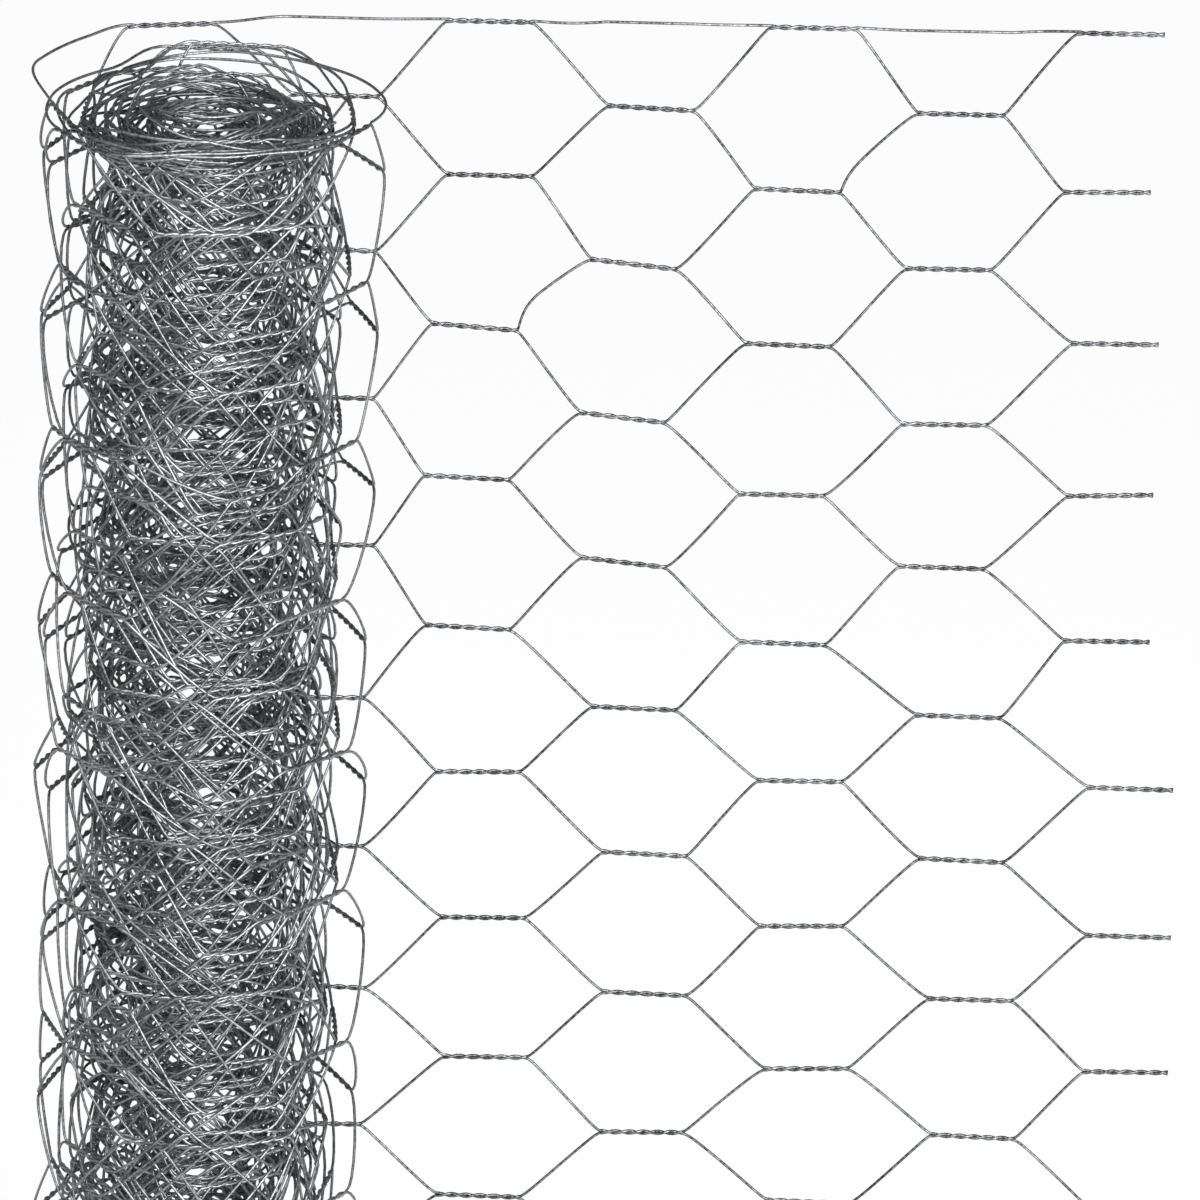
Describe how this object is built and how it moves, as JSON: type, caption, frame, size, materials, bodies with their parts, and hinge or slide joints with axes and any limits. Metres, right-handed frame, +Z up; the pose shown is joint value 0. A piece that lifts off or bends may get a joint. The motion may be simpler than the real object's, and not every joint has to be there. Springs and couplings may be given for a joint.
{
  "type": "roll of chicken wire",
  "caption": "Roll of galvanised hexagonal wire netting stood on end, its last turn sprung open and its free end drawn out flat to one side.",
  "frame": {"origin": "centre of the roll's open middle at its lower end, on the floor", "axes": "+Z up along the roll's axis, +X along the flat free end away from the roll, +Y from the roll towards the plane of the free end"},
  "size_m": [0.3443, 0.1359, 0.5018],
  "materials": {
    "galvanised_wire": "dull zinc with bright streaks"
  },
  "bodies": {
    "root": {"wound_roll": "galvanised_wire", "sprung_turn": "galvanised_wire", "free_end": "galvanised_wire"}
  },
  "joints": []
}
